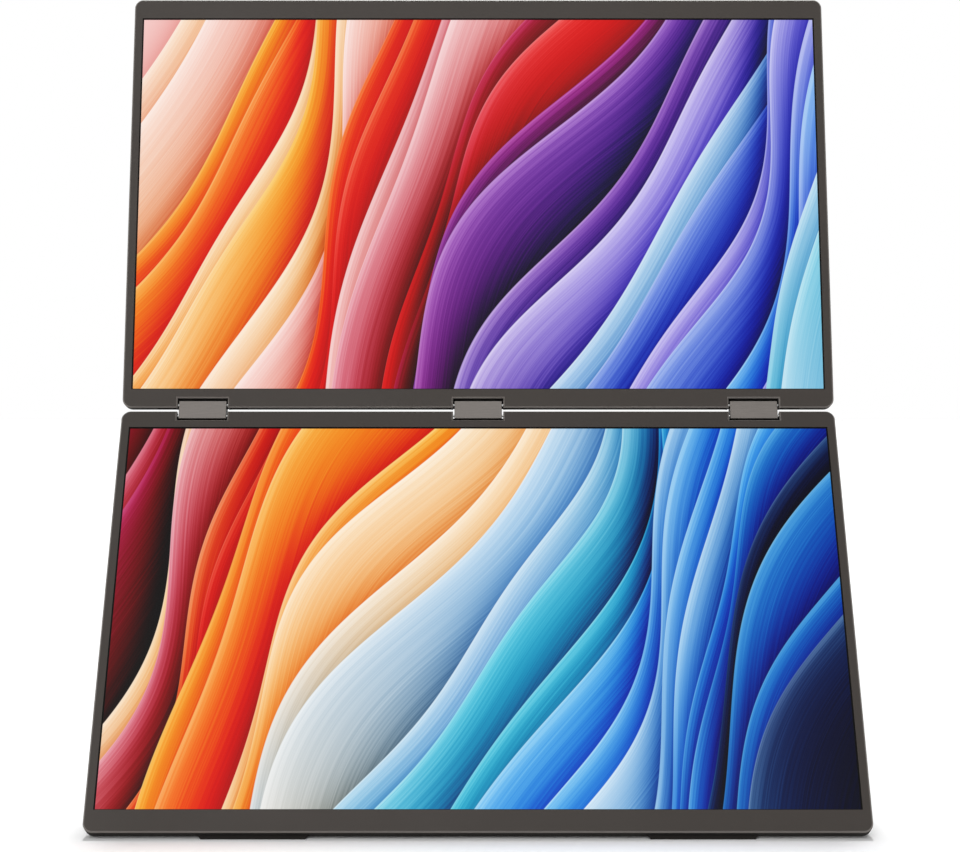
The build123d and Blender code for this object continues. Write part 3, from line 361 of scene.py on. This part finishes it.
def brushed(name, tone, stroke, metallic=1.0, rough=(0.28, 0.45)):
    """Metal brushed along X."""
    made, tree, shader, coordinates = new_material(name)
    place = stretched(tree, coordinates.outputs["Object"], (1 / stroke, BRUSH_MARKS, BRUSH_MARKS))
    mark = noise(tree, place, 1.0, 4.0, 0.7)
    broad = noise(tree, coordinates.outputs["Object"], 60.0)
    base = mixed(tree, spread(tree, mark, 0.0, 1.0), opaque(tone, 0.72), opaque(tone, 1.25))
    base = mixed(tree, remapped(tree, broad, 0.35, 0.65, 0.0, 0.15), base, opaque(tone, 0.8))
    tree.links.new(base, shader.inputs["Base Color"])
    tree.links.new(spread(tree, mark, *rough), shader.inputs["Roughness"])
    shader.inputs["Metallic"].default_value = metallic
    bumped(tree, shader, mark, 0.2, BRUSH_DEPTH)
    return made


def moulded(name, tone, size, rough, depth, contrast=0.25, gloss=0.5):
    """Matt moulding, rubber, foam or board with a fine texture of the given size."""
    made, tree, shader, coordinates = new_material(name)
    place = coordinates.outputs["Object"]
    texture = noise(tree, place, 1 / size, 3.0, 0.6)
    cloud = noise(tree, place, 35.0)
    base = mixed(tree, texture, opaque(tone, 1 - contrast), opaque(tone, 1 + contrast))
    base = mixed(tree, spread(tree, cloud, 0.0, 0.3), base, opaque(tone, 1 - contrast))
    tree.links.new(base, shader.inputs["Base Color"])
    tree.links.new(spread(tree, texture, rough - 0.08, rough + 0.06), shader.inputs["Roughness"])
    shader.inputs["Specular IOR Level"].default_value = gloss
    bumped(tree, shader, texture, 0.4, depth)
    return made


# Picture
class Ribbon:
    """One flowing band of the picture, which covers all that lies past its crest."""

    def __init__(self, start, swing, waves, phase, first, second):
        self.start = start
        self.swing = swing
        self.waves = waves
        self.phase = phase
        self.first = first
        self.second = second

    def fold(self):
        """The wide rest of this band, past a narrow strip at its crest."""
        strip = 5 * MM + 6 * MM * abs(math.sin(3 * self.phase))
        return Ribbon(
            self.start + strip, 1.06 * self.swing, self.waves, self.phase + 0.15, self.second, self.first
        )


UPPER_RIBBONS = (
    Ribbon(-0.190, 0.012, 11.0, 0.4, "blush", "cream"),
    Ribbon(-0.150, 0.020, 13.0, 1.2, "orange", "amber"),
    Ribbon(-0.122, 0.016, 15.0, 2.1, "amber", "cream"),
    Ribbon(-0.098, 0.022, 12.0, 2.6, "blush", "cream"),
    Ribbon(-0.066, 0.018, 14.0, 3.5, "scarlet", "orange"),
    Ribbon(-0.036, 0.024, 11.0, 4.0, "rose", "blush"),
    Ribbon(-0.006, 0.018, 15.0, 4.4, "crimson", "scarlet"),
    Ribbon(0.022, 0.026, 12.0, 5.2, "magenta", "violet"),
    Ribbon(0.052, 0.020, 14.0, 5.9, "violet", "lavender"),
    Ribbon(0.078, 0.026, 11.0, 6.6, "ice", "periwinkle"),
    Ribbon(0.106, 0.018, 15.0, 7.4, "lavender", "periwinkle"),
    Ribbon(0.130, 0.022, 12.0, 8.0, "sky", "lavender"),
    Ribbon(0.158, 0.016, 14.0, 8.9, "cyan", "ice"),
)
LOWER_RIBBONS = (
    Ribbon(-0.200, 0.014, 12.0, 2.0, "crimson", "rose"),
    Ribbon(-0.158, 0.022, 13.0, 3.1, "rose", "cream"),
    Ribbon(-0.126, 0.018, 15.0, 3.7, "scarlet", "peach"),
    Ribbon(-0.100, 0.026, 11.0, 4.6, "orange", "amber"),
    Ribbon(-0.064, 0.020, 14.0, 5.2, "amber", "cream"),
    Ribbon(-0.034, 0.024, 12.0, 5.8, "cream", "ice"),
    Ribbon(-0.002, 0.020, 15.0, 6.9, "ice", "cyan"),
    Ribbon(0.026, 0.026, 11.0, 7.5, "cyan", "sky"),
    Ribbon(0.058, 0.018, 14.0, 8.1, "sky", "ice"),
    Ribbon(0.084, 0.024, 12.0, 8.8, "ice", "sky"),
    Ribbon(0.110, 0.020, 15.0, 9.3, "azure", "sky"),
    Ribbon(0.134, 0.022, 11.0, 10.2, "azure", "navy"),
    Ribbon(0.156, 0.016, 14.0, 10.8, "navy", "azure"),
)
RIBBON_SLANT = math.radians(24.0)
RIBBON_RUN = 55 * MM
SHADOW_RUN = 10 * MM
EDGE_RUN = 3.5 * MM
EDGE_LIGHT = 0.35
EDGE_SOFTNESS = 0.25 * MM
RIPPLE_RATE = 2.3
RIPPLE_SHARE = 0.28
FADE_RATE = 0.7
CREST_GAMMA = 0.78
DEPTH_GAMMA = 1.5
STREAK_GAMMAS = (1.3, 0.75)
STREAK_RATE = 5.0
GLASS_ROUGHNESS = (0.22, 0.3)
GLASS_GLOSS = 0.04


def ribbon_group():
    """Node group that lays one shaded ribbon over the picture so far."""
    tree = bpy.data.node_groups.new("ribbon", "ShaderNodeTree")
    for name, kind in (
        ("Under", "NodeSocketColor"),
        ("Across", "NodeSocketFloat"),
        ("Along", "NodeSocketFloat"),
        ("Start", "NodeSocketFloat"),
        ("Swing", "NodeSocketFloat"),
        ("Waves", "NodeSocketFloat"),
        ("Phase", "NodeSocketFloat"),
        ("First", "NodeSocketColor"),
        ("Second", "NodeSocketColor"),
    ):
        tree.interface.new_socket(name, in_out="INPUT", socket_type=kind)
    tree.interface.new_socket("Picture", in_out="OUTPUT", socket_type="NodeSocketColor")
    entry = tree.nodes.new("NodeGroupInput").outputs
    angle = maths(tree, "MULTIPLY_ADD", entry["Along"], entry["Waves"], entry["Phase"])
    slow = maths(tree, "SINE", angle)
    ripple = maths(tree, "SINE", maths(tree, "MULTIPLY_ADD", angle, RIPPLE_RATE, entry["Phase"]))
    swing = maths(tree, "MULTIPLY_ADD", ripple, RIPPLE_SHARE, slow)
    crest = maths(tree, "MULTIPLY_ADD", swing, entry["Swing"], entry["Start"])
    past = maths(tree, "SUBTRACT", entry["Across"], crest)
    inside = remapped(tree, past, -EDGE_SOFTNESS, EDGE_SOFTNESS, 0.0, 1.0, smooth=True)
    depth = remapped(tree, past, 0.0, RIBBON_RUN, 0.0, 1.0)
    side = maths(tree, "DIVIDE", past, settings("picture").streak)
    down = maths(tree, "MULTIPLY_ADD", entry["Along"], STREAK_RATE, entry["Phase"])
    place = add_node(tree, "ShaderNodeCombineXYZ", {0: side, 1: down})
    streak = noise(tree, place.outputs[0], 1.0, 4.0, 0.65)
    turn = maths(tree, "SINE", maths(tree, "MULTIPLY", angle, FADE_RATE))
    fade = remapped(tree, turn, -1.0, 1.0, 0.0, 1.0)
    body = mixed(tree, fade, entry["First"], entry["Second"])
    deep = maths(tree, "MULTIPLY_ADD", maths(tree, "POWER", depth, 0.8), DEPTH_GAMMA, CREST_GAMMA)
    deep = maths(tree, "MULTIPLY", deep, remapped(tree, streak, 0.25, 0.75, *STREAK_GAMMAS))
    rim = maths(tree, "EXPONENT", maths(tree, "DIVIDE", past, -EDGE_RUN))
    deep = maths(tree, "MULTIPLY_ADD", maths(tree, "MINIMUM", rim, 1.0), -EDGE_LIGHT, deep)
    body = add_node(tree, "ShaderNodeGamma", {"Color": body, "Gamma": deep}).outputs[0]
    dim = maths(tree, "MINIMUM", maths(tree, "EXPONENT", maths(tree, "DIVIDE", past, SHADOW_RUN)), 1.0)
    darker = maths(tree, "ADD", dim, 1.0)
    under = add_node(tree, "ShaderNodeGamma", {"Color": entry["Under"], "Gamma": darker}).outputs[0]
    exit_node = tree.nodes.new("NodeGroupOutput")
    tree.links.new(mixed(tree, inside, under, body), exit_node.inputs[0])
    return tree


def picture_material(side, ribbons, group):
    """Lit screen: black border, flowing ribbons inside it, and a satin glass surface."""
    picture = settings("picture")
    made, tree, shader, coordinates = new_material(f"{side}_picture")
    across, middle = picture_place(tree, coordinates, side)
    slant = (math.cos(RIBBON_SLANT), math.sin(RIBBON_SLANT))
    order = maths(tree, "MULTIPLY_ADD", middle, -slant[1], maths(tree, "MULTIPLY", across, slant[0]))
    run = maths(tree, "MULTIPLY_ADD", across, slant[1], maths(tree, "MULTIPLY", middle, slant[0]))
    shown = opaque(getattr(picture, ribbons[0].first))
    for ribbon in (band for whole in ribbons for band in (whole, whole.fold())):
        values = {
            "Under": shown,
            "Across": order,
            "Along": run,
            "Start": ribbon.start,
            "Swing": ribbon.swing,
            "Waves": ribbon.waves,
            "Phase": ribbon.phase,
            "First": opaque(getattr(picture, ribbon.first)),
            "Second": opaque(getattr(picture, ribbon.second)),
        }
        shown = add_node(tree, "ShaderNodeGroup", values, node_tree=group).outputs[0]
    wide = maths(tree, "LESS_THAN", maths(tree, "ABSOLUTE", across), PICTURE_WIDTH / 2)
    high = maths(tree, "LESS_THAN", maths(tree, "ABSOLUTE", middle), PICTURE_HEIGHT / 2)
    front = maths(tree, "GREATER_THAN", along(tree, coordinates.outputs["Normal"], facing(LEANS[side])), 0.9)
    lit = maths(tree, "MULTIPLY", maths(tree, "MULTIPLY", wide, high), front)
    shown = mixed(tree, lit, (0.0, 0.0, 0.0, 1.0), shown)
    tree.links.new(shown, shader.inputs["Emission Color"])
    shader.inputs["Emission Strength"].default_value = picture.brightness
    sparkle = noise(tree, coordinates.outputs["Object"], 6000.0)
    tree.links.new(spread(tree, sparkle, *GLASS_ROUGHNESS), shader.inputs["Roughness"])
    black = mixed(tree, sparkle, (0.002, 0.002, 0.002, 1), (0.004, 0.004, 0.004, 1))
    tree.links.new(black, shader.inputs["Base Color"])
    shader.inputs["Specular IOR Level"].default_value = GLASS_GLOSS
    return made


class MONITOR_OT_casings(bpy.types.Operator):
    """Finishes the bezels, covers, kickstand plate and buttons"""

    bl_idname = "monitor.casings"
    bl_label = "Casings"

    def execute(self, context):
        look = settings("casing")
        for side, lean in LEANS.items():
            wear(f"{side}_front_bezel", bezel_metal(f"{side}_bezel_metal", look, side))
            wear(f"{side}_back_cover", cover_metal(f"{side}_cover_metal", look, facing(lean)))
        wear("stand_plate", anodised("stand_metal", look.stand, 0.3))
        button = moulded("button_moulding", look.button, 0.25 * MM, 0.45, 0.02 * MM)
        for name in ("power_button", "menu_button", "select_button"):
            wear(name, button)
        return {"FINISHED"}


class MONITOR_OT_screens(bpy.types.Operator):
    """Draws the lit picture on both screens"""

    bl_idname = "monitor.screens"
    bl_label = "Screens"

    def execute(self, context):
        group = ribbon_group()
        for side, ribbons in (("lower", LOWER_RIBBONS), ("upper", UPPER_RIBBONS)):
            wear(f"{side}_lcd_cell", picture_material(side, ribbons, group))
        return {"FINISHED"}


class MONITOR_OT_hinges(bpy.types.Operator):
    """Finishes the hinge links, pins, brackets and gears"""

    bl_idname = "monitor.hinges"
    bl_label = "Hinges"

    def execute(self, context):
        look = settings("hinge")
        wear("hinge_covers", brushed("link_cap_metal", look.brushed, look.stroke, 0.6, (0.45, 0.6)))
        wear("hinge_housings", anodised("link_metal", look.block, 0.04))
        steel = brushed("hinge_steel", look.steel, look.stroke)
        for side in LEANS:
            for part in ("hinge_pins", "hinge_brackets", "bracket_screws", "idler_gears"):
                wear(f"{side}_{part}", steel)
        for name in ("idler_pins", "stand_brackets", "stand_leaves", "stand_pins", "board_screws"):
            wear(name, steel)
        black = brushed("blackened_steel", look.screw, look.stroke, 0.8, (0.35, 0.5))
        for name in ("lower_cover_screws", "upper_cover_screws", "stand_screws"):
            wear(name, black)
        return {"FINISHED"}


class MONITOR_OT_rubber(bpy.types.Operator):
    """Finishes the rubber feet and the stand's rubber strip"""

    bl_idname = "monitor.rubber"
    bl_label = "Rubber"

    def execute(self, context):
        rubber = moulded("foot_rubber", settings("casing").rubber, 0.3 * MM, 0.72, 0.03 * MM, 0.25, 0.1)
        for name in ("rubber_feet", "stand_foot"):
            wear(name, rubber)
        return {"FINISHED"}


class MONITOR_OT_inner_pieces(bpy.types.Operator):
    """Finishes the screen layers, boards, ports and cables"""

    bl_idname = "monitor.inner_pieces"
    bl_label = "Inner pieces"

    def execute(self, context):
        look = settings("inner")
        board = moulded("board_mask", look.board, 0.6 * MM, 0.4, 0.02 * MM, 0.35)
        chip = moulded("black_moulding", look.chip, 0.2 * MM, 0.5, 0.01 * MM)
        ribbon = moulded("ribbon_film", look.ribbon, 0.5 * MM, 0.3, 0.01 * MM)
        tray = brushed("tray_sheet", look.tray, 20 * MM, 1.0, (0.35, 0.5))
        shell = brushed("port_shell", settings("hinge").steel, 3 * MM, 1.0, (0.2, 0.32))
        guide = moulded("light_guide", look.guide, 1.5 * MM, 0.2, 0.01 * MM, 0.05)
        bar = moulded("light_bar", look.bar, 2.5 * MM, 0.5, 0.01 * MM, 0.15)
        foam = moulded("foam", look.foam, 0.35 * MM, 0.85, 0.06 * MM)
        for side in LEANS:
            wear(f"{side}_panel_tray", tray)
            wear(f"{side}_backlight_sheets", guide)
            wear(f"{side}_led_bar", bar)
            wear(f"{side}_bezel_gasket", foam)
            wear(f"{side}_timing_board", board)
            wear(f"{side}_cable", chip)
        for names, material in (
            (("main_board", "button_board"), board),
            (("button_switches", "port_tongues", "link_cable"), chip),
            (("panel_ribbon", "button_ribbon"), ribbon),
            (("data_port_shells", "video_port_shell"), shell),
        ):
            for name in names:
                wear(name, material)
        return {"FINISHED"}


# Stage
FLOOR_REACH = 6.0
KEY_DIRECTION = (0.12, 0.78, -0.6)
KEY_SPREAD = 40
TOP_DIRECTION = (0, -0.42, -1)
TOP_SPREAD = 6


def seen_directly(tree):
    """1 for what the camera sees itself, in a mirror or through glass, and 0 for light on the object."""
    path = tree.nodes.new("ShaderNodeLightPath").outputs
    seen = maths(tree, "MAXIMUM", path["Is Camera Ray"], path["Is Glossy Ray"])
    return maths(tree, "MAXIMUM", seen, path["Is Transmission Ray"])


def studio_floor(look):
    """Wide pale floor that takes the object's shadow."""
    mesh = bpy.data.meshes.new("studio_floor")
    turns = ((-1, -1), (1, -1), (1, 1), (-1, 1))
    corners = [(x * FLOOR_REACH, y * FLOOR_REACH, 0) for x, y in turns]
    mesh.from_pydata(corners, [], [(0, 1, 2, 3)])
    floor = bpy.data.objects.new("studio_floor", mesh)
    bpy.context.scene.collection.objects.link(floor)
    made, tree, shader, coordinates = new_material("studio_floor")
    dust = noise(tree, coordinates.outputs["Object"], 8.0)
    tone = mixed(tree, dust, opaque(look.floor, 0.99), opaque(look.floor, 1.01))
    tree.links.new(tone, shader.inputs["Base Color"])
    shader.inputs["Roughness"].default_value = 0.9
    shader.inputs["Specular IOR Level"].default_value = 0.0
    shader.inputs["Emission Color"].default_value = (1, 1, 1, 1)
    lift = maths(tree, "MULTIPLY", seen_directly(tree), look.lift)
    tree.links.new(lift, shader.inputs["Emission Strength"])
    mesh.materials.append(made)


def white_surround(look):
    """White world, full where it is seen and softer where it lights the object."""
    world = bpy.data.worlds.new("white_surround")
    bpy.context.scene.world = world
    world.use_nodes = True
    tree = world.node_tree
    tree.nodes.clear()
    output = tree.nodes.new("ShaderNodeOutputWorld")
    strength = maths(tree, "MAXIMUM", seen_directly(tree), look.fill)
    background = add_node(tree, "ShaderNodeBackground", {"Color": (1, 1, 1, 1), "Strength": strength})
    tree.links.new(background.outputs[0], output.inputs[0])


def soft_lamp(name, direction, angle, strength):
    """Even, far lamp that shines in a direction, its light spread over some degrees."""
    data = bpy.data.lights.new(name, "SUN")
    data.angle = math.radians(angle)
    data.energy = strength
    lamp = bpy.data.objects.new(name, data)
    lamp.rotation_euler = Vector(direction).to_track_quat("-Z", "Y").to_euler()
    bpy.context.scene.collection.objects.link(lamp)


def photo_camera(look):
    """Camera at the photograph's viewing angle."""
    tilt = math.radians(look.tilt)
    ahead = Vector((0, math.cos(tilt), -math.sin(tilt)))
    up = Vector((0, math.sin(tilt), math.cos(tilt)))
    data = bpy.data.cameras.new("photo_camera")
    data.sensor_fit = "HORIZONTAL"
    data.sensor_width = 36.0
    data.lens = look.focal
    camera = bpy.data.objects.new("photo_camera", data)
    offset = up * look.rise - ahead * look.distance + Vector((look.aside, 0, 0))
    camera.location = picture_foot("lower") + offset
    camera.rotation_euler = (math.pi / 2 - tilt, 0, 0)
    bpy.context.scene.collection.objects.link(camera)
    bpy.context.scene.camera = camera


class MONITOR_OT_stage(bpy.types.Operator):
    """Sets the camera, soft lamps, white surround and floor"""

    bl_idname = "monitor.stage"
    bl_label = "Stage"

    def execute(self, context):
        look = settings("stage")
        context.scene.view_settings.view_transform = "Standard"
        photo_camera(look)
        white_surround(look)
        studio_floor(look)
        soft_lamp("key_lamp", KEY_DIRECTION, KEY_SPREAD, look.key)
        soft_lamp("top_lamp", TOP_DIRECTION, TOP_SPREAD, look.top)
        return {"FINISHED"}


OPERATORS = (
    MONITOR_OT_casings,
    MONITOR_OT_screens,
    MONITOR_OT_hinges,
    MONITOR_OT_rubber,
    MONITOR_OT_inner_pieces,
    MONITOR_OT_stage,
)
GROUPS = {
    "casing": CasingSettings,
    "hinge": HingeSettings,
    "inner": InnerSettings,
    "picture": PictureSettings,
    "stage": StageSettings,
}


class MONITOR_PT_sidebar(bpy.types.Panel):
    """Lists the steps that finish the monitor"""

    bl_idname = "MONITOR_PT_sidebar"
    bl_label = "Dual Monitor"
    bl_space_type = "VIEW_3D"
    bl_region_type = "UI"
    bl_category = "Dual Monitor"

    def draw(self, context):
        for operator in OPERATORS:
            self.layout.operator(operator.bl_idname)
        for name, group in GROUPS.items():
            box = self.layout.box()
            box.label(text=name.capitalize())
            for key in group.__annotations__:
                box.prop(settings(name), key)


def register():
    """Adds the settings, operators and panel."""
    for name, group in GROUPS.items():
        bpy.utils.register_class(group)
        setattr(bpy.types.Scene, f"monitor_{name}", bpy.props.PointerProperty(type=group))
    for part in OPERATORS + (MONITOR_PT_sidebar,):
        bpy.utils.register_class(part)


def unregister():
    """Removes the panel, operators and settings."""
    for part in reversed(OPERATORS + (MONITOR_PT_sidebar,)):
        bpy.utils.unregister_class(part)
    for name, group in reversed(GROUPS.items()):
        delattr(bpy.types.Scene, f"monitor_{name}")
        bpy.utils.unregister_class(group)


def main():
    """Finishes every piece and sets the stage."""
    register()
    for operator in OPERATORS:
        step = operator.bl_idname.split(".")[1]
        getattr(bpy.ops.monitor, step)()


if __name__ == "__main__":
    main()
